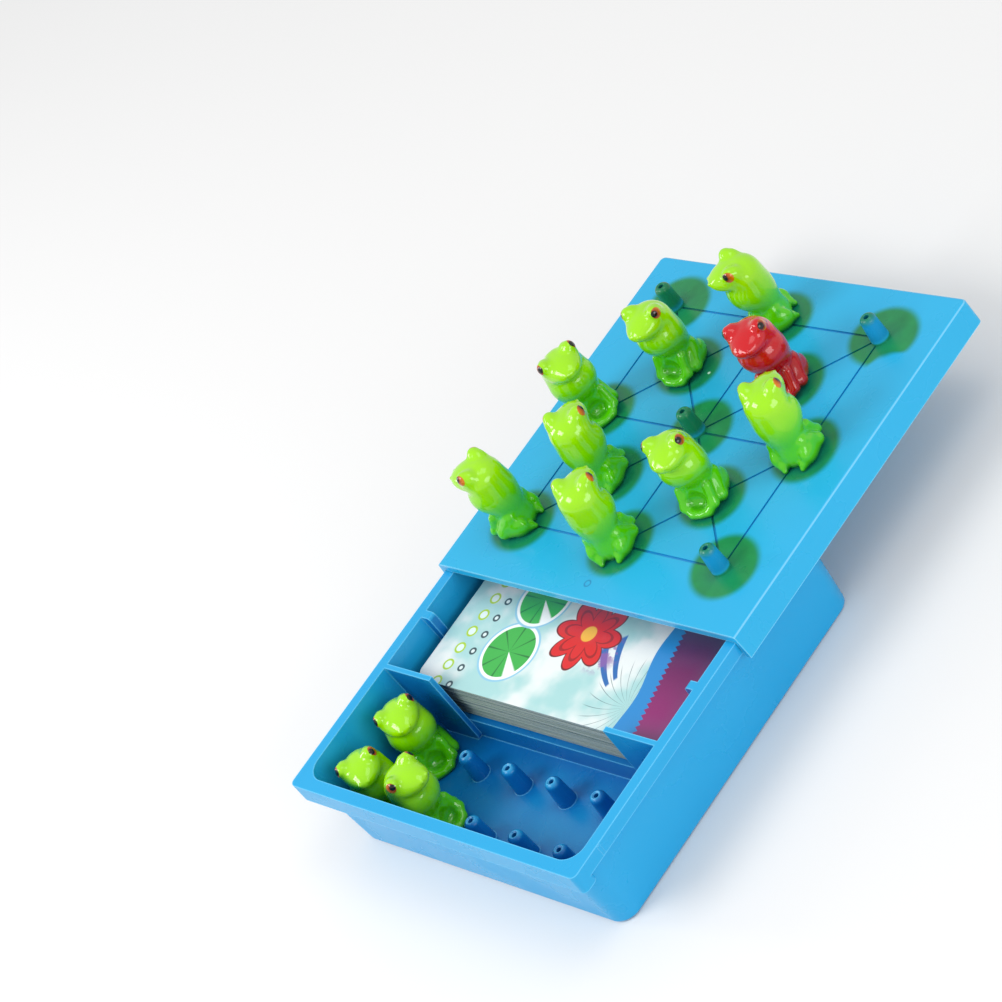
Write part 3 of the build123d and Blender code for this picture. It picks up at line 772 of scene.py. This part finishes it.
def card_stack_tree():
    tree, given, result = geometry_group(
        "card_stack",
        {
            "Width": "Float", "Depth": "Float", "Corner": "Float", "Thickness": "Float", "Pitch": "Float",
            "Count": "Int", "Stray": "Float", "Seed": "Int", "Finish": "Material",
        },
    )
    want = given.outputs
    outline = add_node(tree, "GeometryNodeCurvePrimitiveQuadrilateral")
    join(tree, outline.inputs["Width"], want["Width"])
    join(tree, outline.inputs["Height"], want["Depth"])
    rounded = add_node(tree, "GeometryNodeFilletCurve", {"mode": "POLY"}, Curve=outline.outputs[0])
    join(tree, rounded.inputs["Radius"], want["Corner"])
    join(tree, rounded.inputs["Count"], 6)
    sheet = add_node(tree, "GeometryNodeFillCurve", {"mode": "NGONS"}, Curve=rounded.outputs[0])
    upwards = add_node(tree, "ShaderNodeCombineXYZ", Z=want["Thickness"])
    raised = add_node(tree, "GeometryNodeExtrudeMesh", Mesh=sheet.outputs[0], Offset=upwards.outputs[0])
    join(tree, raised.inputs["Individual"], False)
    underside = add_node(tree, "GeometryNodeFlipFaces", Mesh=sheet.outputs[0])
    both = tree.nodes.new("GeometryNodeJoinGeometry")
    join(tree, both.inputs[0], underside.outputs[0])
    join(tree, both.inputs[0], raised.outputs[0])
    card = add_node(tree, "GeometryNodeMergeByDistance", Geometry=both.outputs[0], Distance=0.00001)
    step = add_node(tree, "ShaderNodeCombineXYZ", Z=want["Pitch"])
    line = add_node(tree, "GeometryNodeMeshLine", Count=want["Count"], Offset=step.outputs[0])
    stack = add_node(tree, "GeometryNodeInstanceOnPoints", Points=line.outputs[0], Instance=card.outputs[0])
    stray_way = add_node(tree, "ShaderNodeCombineXYZ", X=want["Stray"], Y=want["Stray"])
    low = vector_maths(tree, "MULTIPLY", stray_way.outputs[0], (-1, 0, 0))
    twice = maths(tree, "MULTIPLY", want["Stray"], 2.0)
    high = add_node(tree, "ShaderNodeCombineXYZ", X=want["Stray"], Y=twice)
    shift = add_node(tree, "FunctionNodeRandomValue", {"data_type": "FLOAT_VECTOR"}, Seed=want["Seed"])
    join(tree, shift.inputs["Min"], low)
    join(tree, shift.inputs["Max"], high.outputs[0])
    moved = add_node(tree, "GeometryNodeTranslateInstances", Instances=stack.outputs[0])
    join(tree, moved.inputs["Translation"], shift.outputs[0])
    spin = add_node(tree, "FunctionNodeRandomValue", {"data_type": "FLOAT_VECTOR"}, Seed=want["Seed"])
    join(tree, spin.inputs["Min"], (0, 0, -STRAY_TURN))
    join(tree, spin.inputs["Max"], (0, 0, STRAY_TURN))
    turned = add_node(tree, "GeometryNodeRotateInstances", Instances=moved.outputs[0])
    join(tree, turned.inputs["Rotation"], spin.outputs[0])
    real = add_node(tree, "GeometryNodeRealizeInstances", Geometry=turned.outputs[0])
    finish = add_node(tree, "GeometryNodeSetMaterial", Geometry=real.outputs[0], Material=want["Finish"])
    tree.links.new(finish.outputs[0], result.inputs[0])
    return tree


def grown(name, tree, values):
    """Run a geometry tree with its named inputs, and keep the result as a plain mesh."""
    seed = mesh_object(f"{name}_seed", [(0, 0, 0)], [])
    modifier = seed.modifiers.new(name, "NODES")
    modifier.node_group = tree
    for item in tree.interface.items_tree:
        if item.in_out == "INPUT" and item.name in values:
            modifier[item.identifier] = values[item.name]
    seed.update_tag()
    bpy.context.view_layer.update()
    evaluated = seed.evaluated_get(bpy.context.evaluated_depsgraph_get())
    mesh = bpy.data.meshes.new_from_object(evaluated)
    bpy.data.objects.remove(seed)
    thing = bpy.data.objects.new(name, mesh)
    bpy.context.scene.collection.objects.link(thing)
    return thing


def card_edge_material():
    material, tree, shader = new_material("card_stock_edges")
    place = add_node(tree, "ShaderNodeTexCoord").outputs["Object"]
    layers = add_node(tree, "ShaderNodeMapping", Vector=place, Scale=(12.0, 12.0, 2600.0))
    streaks = add_node(tree, "ShaderNodeTexNoise", Vector=layers.outputs[0], Scale=1.0, Detail=3.0)
    broad = add_node(tree, "ShaderNodeMapping", Vector=place, Scale=(20.0, 20.0, 160.0))
    patches = add_node(tree, "ShaderNodeTexNoise", Vector=broad.outputs[0], Scale=1.0, Detail=2.0)
    paper = mix(tree, fade(tree, streaks.outputs[0], 0.35, 0.65), colour("8FA09B"), colour("CBD3CC"))
    aged = mix(tree, maths(tree, "MULTIPLY", patches.outputs[0], 0.6), paper, colour("A9B4A4"))
    # painted shade: a dark grey-blue between the cards and where walls stand close
    hollow = effect(tree, "hollow_shade", Reach=0.012, Contrast=1.2)
    shaded = mix(tree, hollow.outputs["Mask"], aged, colour("54707A"))
    fibres = add_node(tree, "ShaderNodeTexNoise", Vector=place, Scale=1800.0, Detail=2.0)
    relief = add_node(tree, "ShaderNodeBump", Strength=0.25, Distance=0.0003, Height=fibres.outputs[0])
    join(tree, shader.inputs["Base Color"], shaded)
    join(tree, shader.inputs["Normal"], relief.outputs["Normal"])
    shader.inputs["Roughness"].default_value = 0.75
    return material


deck_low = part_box("challenge_cards")[0]
cover_low, cover_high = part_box("cover_card")
cover_middle = (cover_low + cover_high) / 2
card_thick = cover_high.z - cover_low.z
card_pitch = (cover_low.z - deck_low.z) / CARD_COUNT
deck = grown(
    "challenge_deck",
    card_stack_tree(),
    {
        "Width": cover_high.x - cover_low.x,
        "Depth": cover_high.y - cover_low.y,
        "Corner": CARD_CORNER,
        "Thickness": card_thick,
        "Pitch": card_pitch,
        "Count": CARD_COUNT,
        "Stray": 0.00035,
        "Seed": 5,
        "Finish": card_edge_material(),
    },
)
deck.data.transform(Matrix.Translation((cover_middle.x, cover_middle.y, deck_low.z)))
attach(deck, "deck")
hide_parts("challenge_cards")
print("deck:", len(deck.data.polygons), "faces")

# %% [markdown]
# ## The printed cover card
#
# The top card is the one that is seen. Its picture is a pond from above: an aqua sky, lily pads, a red
# water lily, reeds, a strip of water with a torn edge and a plum border. A print has no relief, so it is
# all colour: each thing is a mask from a simple formula in millimetres, and the masks are laid over each
# other as inks.

# %% Cover picture
REED_ROOT = (33.5, -26.5)
LILY_X = -24.5
FLOWER = (1.0, -7.0)
BUBBLE_PITCH = 6.4


def disc(tree, x, y, at_x, at_y):
    """Distance of each point to a place on the card."""
    across, along = maths(tree, "SUBTRACT", x, at_x), maths(tree, "SUBTRACT", y, at_y)
    offset = add_node(tree, "ShaderNodeCombineXYZ", X=across, Y=along)
    return vector_maths(tree, "LENGTH", offset.outputs[0], out=1)


def angle_about(tree, x, y, at_x, at_y):
    """Bearing of each point from a place on the card."""
    return maths(tree, "ARCTAN2", maths(tree, "SUBTRACT", y, at_y), maths(tree, "SUBTRACT", x, at_x))


def cover_material():
    material, tree, shader = new_material("cover_print")
    place = add_node(tree, "ShaderNodeTexCoord").outputs["Object"]
    to_mm = add_node(
        tree, "ShaderNodeMapping", Vector=place, Location=(0, -cover_middle.y / MM, 0), Scale=(1 / MM,) * 3
    ).outputs[0]
    x, y, z = add_node(tree, "ShaderNodeSeparateXYZ", Vector=to_mm).outputs
    cloud = add_node(tree, "ShaderNodeTexNoise", Vector=to_mm, Scale=0.05, Detail=3.0).outputs[0]
    ink = mix(tree, fade(tree, cloud, 0.40, 0.60), colour("E6ECEC"), colour("A6D3D4"))

    # reeds: thin arcs that fan out from one root, and two broad blades
    way = angle_about(tree, x, y, *REED_ROOT)
    far = disc(tree, x, y, *REED_ROOT)
    bent = maths(tree, "ADD", way, maths(tree, "MULTIPLY", far, 0.018))
    comb = maths(tree, "ABSOLUTE", maths(tree, "SINE", maths(tree, "MULTIPLY", bent, 13.0)))
    fan = maths(tree, "MULTIPLY", fade(tree, far, 18.0, 14.0), fade(tree, comb, 0.16, 0.06))
    ink = mix(tree, maths(tree, "MULTIPLY", fan, 0.75), ink, colour("4A6670"))
    blade = fade(tree, maths(tree, "ABSOLUTE", maths(tree, "SUBTRACT", bent, 3.02)), 0.06, 0.045)
    second = fade(tree, maths(tree, "ABSOLUTE", maths(tree, "SUBTRACT", bent, 2.80)), 0.06, 0.045)
    reach = maths(tree, "MULTIPLY", fade(tree, far, 13.0, 14.0), fade(tree, far, 29.0, 28.0))
    blades = maths(tree, "MULTIPLY", maths(tree, "MAXIMUM", blade, second), reach)
    ink = mix(tree, blades, ink, colour("2468B0"))

    # lily pads with a halo, and a red water lily
    for at_y, radius in ((-19.5, 9.4), (0.5, 9.0), (20.0, 8.6)):
        pad = disc(tree, x, y, LILY_X, at_y)
        bearing = angle_about(tree, x, y, LILY_X, at_y)
        opening = fade(tree, maths(tree, "COSINE", maths(tree, "ADD", bearing, 0.9)), 0.96, 0.985)
        veins = maths(tree, "ABSOLUTE", maths(tree, "SINE", maths(tree, "MULTIPLY", bearing, 4.0)))
        leaf = mix(tree, fade(tree, veins, 0.10, 0.20), colour("1E7A36"), colour("3BAF4A"))
        ink = mix(tree, fade(tree, pad, radius + 2.0, radius + 1.6), ink, colour("8FC6E0"))
        ink = mix(tree, fade(tree, pad, radius + 1.2, radius + 0.9), ink, colour("F4FAFA"))
        shape = maths(tree, "SUBTRACT", fade(tree, pad, radius + 0.1, radius - 0.1), opening)
        ink = mix(tree, maths(tree, "MAXIMUM", shape, 0.0), ink, leaf)
    haze = add_node(tree, "ShaderNodeTexNoise", Vector=to_mm, Scale=0.35, Detail=3.0).outputs[0]
    near_flower = fade(tree, disc(tree, x, y, 11.0, -12.0), 9.0, 4.0)
    smudge = maths(tree, "MULTIPLY", near_flower, fade(tree, haze, 0.45, 0.58))
    ink = mix(tree, maths(tree, "MULTIPLY", smudge, 0.8), ink, colour("8C5AA6"))
    petal_way = maths(tree, "MULTIPLY", angle_about(tree, x, y, *FLOWER), 4.0)
    petals = maths(tree, "MULTIPLY", maths(tree, "ABSOLUTE", maths(tree, "COSINE", petal_way)), 4.6)
    flower = maths(tree, "SUBTRACT", disc(tree, x, y, *FLOWER), petals)
    ink = mix(tree, fade(tree, flower, 9.3, 9.0), ink, colour("6E1014"))
    ink = mix(tree, fade(tree, flower, 8.6, 8.3), ink, colour("D81E22"))
    fold = maths(tree, "ABSOLUTE", maths(tree, "SUBTRACT", flower, 5.2))
    ink = mix(tree, fade(tree, fold, 0.7, 0.4), ink, colour("A01218"))
    ink = mix(tree, fade(tree, disc(tree, x, y, *FLOWER), 3.0, 2.6), ink, colour("F2B63C"))

    # bubbles along the left
    row = maths(tree, "SUBTRACT", maths(tree, "FRACT", maths(tree, "DIVIDE", y, BUBBLE_PITCH)), 0.5)
    for at_x, size, tone in ((-44.5, 2.2, "A9CF2E"), (-38.6, 1.5, "2F4A52")):
        bubble = disc(tree, x, maths(tree, "MULTIPLY", row, BUBBLE_PITCH), at_x, 0.0)
        ink = mix(tree, fade(tree, bubble, size, size - 0.25), ink, colour(tone))
        ink = mix(tree, fade(tree, bubble, size - 0.7, size - 0.95), ink, colour("DDEFEF"))

    # strip of water with a torn edge, and the plum border
    slant = maths(tree, "MULTIPLY", y, -0.19)
    teeth = maths(tree, "PINGPONG", y, 1.0)
    torn = maths(tree, "ADD", maths(tree, "ADD", slant, 34.9), maths(tree, "MULTIPLY", teeth, 1.5))
    wave = maths(tree, "ADD", maths(tree, "SINE", maths(tree, "MULTIPLY", y, 0.21)), 30.6)
    bank = maths(tree, "ADD", maths(tree, "MULTIPLY", slant, 0.55), wave)
    ink = mix(tree, fade(tree, maths(tree, "SUBTRACT", x, bank), -0.1, 0.1), ink, colour("1F86CC"))
    plum = mix(tree, fade(tree, y, -30.0, 0.0), colour("8E1C6C"), colour("561052"))
    ink = mix(tree, fade(tree, maths(tree, "SUBTRACT", x, torn), -0.1, 0.1), ink, plum)

    # only the top face is printed
    printed = fade(tree, z, (cover_high.z - 0.00008) / MM, (cover_high.z - 0.00003) / MM)
    whole = mix(tree, printed, colour("C4CCC6"), ink)
    # painted shade: a darker blue where the walls and ribs stand close to the card
    hollow = effect(tree, "hollow_shade", Reach=0.012, Contrast=0.8)
    shaded = mix(tree, hollow.outputs["Mask"], whole, colour("3F6F88"))
    handling = effect(tree, "handling", Polished=0.30, Dull=0.48)
    fibres = add_node(tree, "ShaderNodeTexNoise", Vector=place, Scale=1400.0, Detail=2.0)
    relief = add_node(tree, "ShaderNodeBump", Strength=0.06, Distance=0.0003, Height=fibres.outputs[0])
    join(tree, shader.inputs["Base Color"], shaded)
    join(tree, shader.inputs["Roughness"], handling.outputs["Roughness"])
    join(tree, shader.inputs["Normal"], relief.outputs["Normal"])
    return material


repaint("cover_card", cover_material())
print("cover:", frame["nodes"]["cover_card"].data.materials[0].name)
